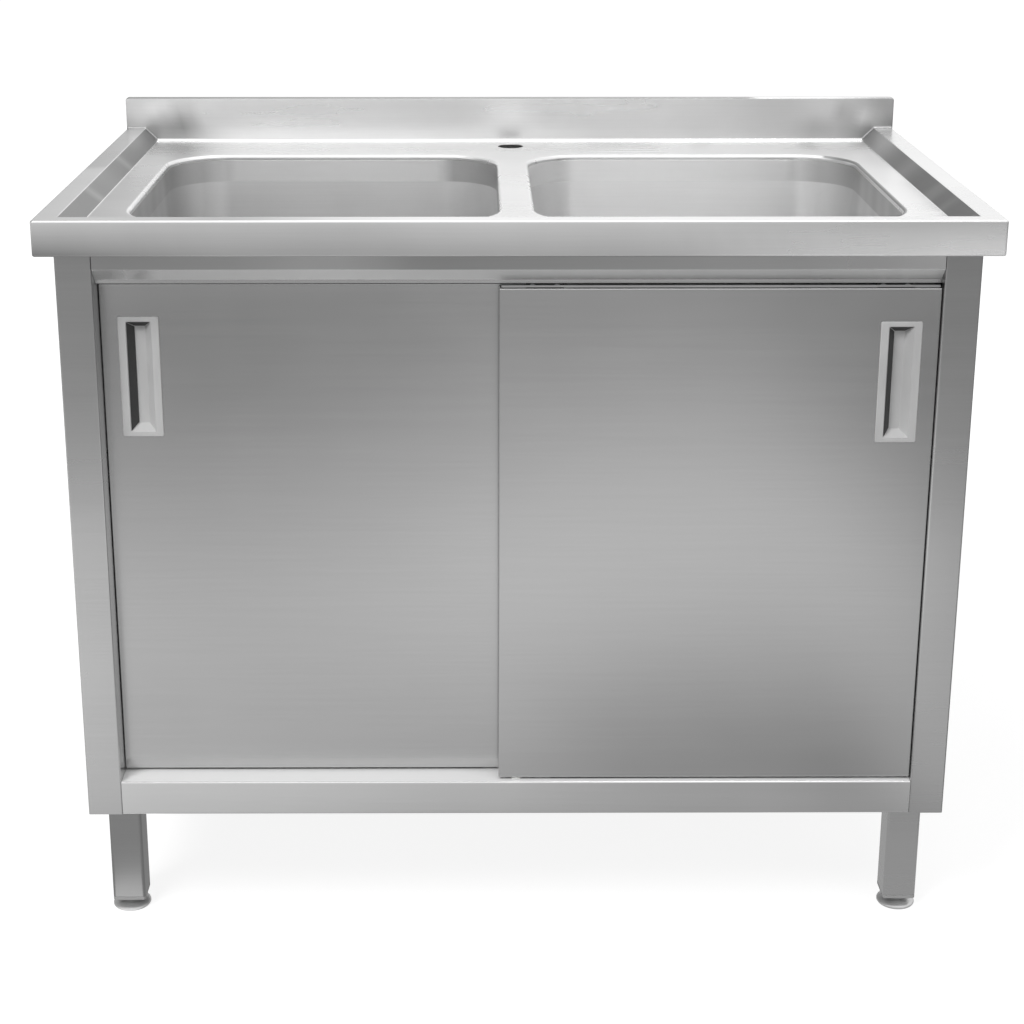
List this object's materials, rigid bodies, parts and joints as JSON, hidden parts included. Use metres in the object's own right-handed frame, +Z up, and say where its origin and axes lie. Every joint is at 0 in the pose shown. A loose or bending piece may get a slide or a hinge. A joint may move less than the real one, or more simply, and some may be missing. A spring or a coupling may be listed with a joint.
{
  "type": "kitchen sink unit",
  "caption": "Stainless steel sink cabinet: a rimmed worktop with bowls and an upstand over top-hung sliding doors, on square legs with levelling feet.",
  "frame": {"origin": "on the floor, under the middle of the worktop", "axes": "+X to the right seen from the front, +Y to the wall behind, +Z up; the front faces -Y"},
  "size_m": [1, 0.6, 0.89],
  "materials": {
    "worktop_steel": "satin brushed, grain along the front",
    "bowl_steel": "satin pressed",
    "cabinet_steel": "satin brushed",
    "door_steel": "fine satin",
    "mill_steel": "dull, as rolled",
    "foot_steel": "pressed and turned",
    "waste_chrome": "chromed brass",
    "seal_rubber": "matt",
    "handle_grey": "fine matt moulding",
    "nylon": "natural nylon",
    "cap_grey": "moulded grey"
  },
  "bodies": {
    "cabinet": {"worktop": "worktop_steel", "bowl_left": "bowl_steel", "waste_body_left": "waste_chrome", "waste_seal_left": "seal_rubber", "waste_nut_left": "waste_chrome", "bowl_right": "bowl_steel", "waste_body_right": "waste_chrome", "waste_seal_right": "seal_rubber", "waste_nut_right": "waste_chrome", "side_panel_left": "cabinet_steel", "side_panel_right": "cabinet_steel", "back_panel": "mill_steel", "bottom_shelf": "cabinet_steel", "shelf_stiffener": "mill_steel", "worktop_brace_rear": "mill_steel", "worktop_brace_centre": "mill_steel", "front_rail": "cabinet_steel", "rear_track": "cabinet_steel", "front_door_guide": "nylon", "rear_door_guide": "nylon", "leg_front_left": "cabinet_steel", "leg_plate_front_left": "mill_steel", "leg_cap_front_left": "cap_grey", "leg_front_right": "cabinet_steel", "leg_plate_front_right": "mill_steel", "leg_cap_front_right": "cap_grey", "leg_rear_left": "cabinet_steel", "leg_plate_rear_left": "mill_steel", "leg_cap_rear_left": "cap_grey", "leg_rear_right": "cabinet_steel", "leg_plate_rear_right": "mill_steel", "leg_cap_rear_right": "cap_grey"},
    "front_door": {"front_door_skin": "door_steel", "front_door_liner": "mill_steel", "front_door_handle": "handle_grey", "front_door_hanger_left": "mill_steel", "front_door_axle_left": "mill_steel", "front_door_hanger_right": "mill_steel", "front_door_axle_right": "mill_steel"},
    "front_door_roller_left": {"front_door_roller_left": "nylon"},
    "front_door_roller_right": {"front_door_roller_right": "nylon"},
    "rear_door": {"rear_door_skin": "door_steel", "rear_door_liner": "mill_steel", "rear_door_handle": "handle_grey", "rear_door_hanger_left": "mill_steel", "rear_door_axle_left": "mill_steel", "rear_door_hanger_right": "mill_steel", "rear_door_axle_right": "mill_steel"},
    "rear_door_roller_left": {"rear_door_roller_left": "nylon"},
    "rear_door_roller_right": {"rear_door_roller_right": "nylon"},
    "foot_front_left": {"foot_front_left": "foot_steel"},
    "foot_front_right": {"foot_front_right": "foot_steel"},
    "foot_rear_left": {"foot_rear_left": "foot_steel"},
    "foot_rear_right": {"foot_rear_right": "foot_steel"}
  },
  "joints": [
    {"name": "front_door_slide", "type": "slide", "parent": "cabinet", "child": "front_door", "axis": [1, 0, 0], "range_m": [-0.426, 0]},
    {"name": "rear_door_slide", "type": "slide", "parent": "cabinet", "child": "rear_door", "axis": [1, 0, 0], "range_m": [0, 0.426]},
    {"name": "front_door_roller_left_turn", "type": "hinge", "parent": "front_door", "child": "front_door_roller_left", "pos_m": [0.028, -0.2515, 0.79], "axis": [0, 1, 0], "continuous": true},
    {"name": "front_door_roller_right_turn", "type": "hinge", "parent": "front_door", "child": "front_door_roller_right", "pos_m": [0.398, -0.2515, 0.79], "axis": [0, 1, 0], "continuous": true},
    {"name": "rear_door_roller_left_turn", "type": "hinge", "parent": "rear_door", "child": "rear_door_roller_left", "pos_m": [-0.398, -0.2318, 0.79], "axis": [0, 1, 0], "continuous": true},
    {"name": "rear_door_roller_right_turn", "type": "hinge", "parent": "rear_door", "child": "rear_door_roller_right", "pos_m": [-0.028, -0.2318, 0.79], "axis": [0, 1, 0], "continuous": true},
    {"name": "foot_front_left_screw", "type": "slide", "parent": "cabinet", "child": "foot_front_left", "axis": [0, 0, -1], "range_m": [0, 0.02]},
    {"name": "foot_front_right_screw", "type": "slide", "parent": "cabinet", "child": "foot_front_right", "axis": [0, 0, -1], "range_m": [0, 0.02]},
    {"name": "foot_rear_left_screw", "type": "slide", "parent": "cabinet", "child": "foot_rear_left", "axis": [0, 0, -1], "range_m": [0, 0.02]},
    {"name": "foot_rear_right_screw", "type": "slide", "parent": "cabinet", "child": "foot_rear_right", "axis": [0, 0, -1], "range_m": [0, 0.02]}
  ],
  "couplings": [
    {"joint": "front_door_roller_left_turn", "follows": "front_door_slide", "rad_per_m": 142.86},
    {"joint": "front_door_roller_right_turn", "follows": "front_door_slide", "rad_per_m": 142.86},
    {"joint": "rear_door_roller_left_turn", "follows": "rear_door_slide", "rad_per_m": 142.86},
    {"joint": "rear_door_roller_right_turn", "follows": "rear_door_slide", "rad_per_m": 142.86}
  ]
}
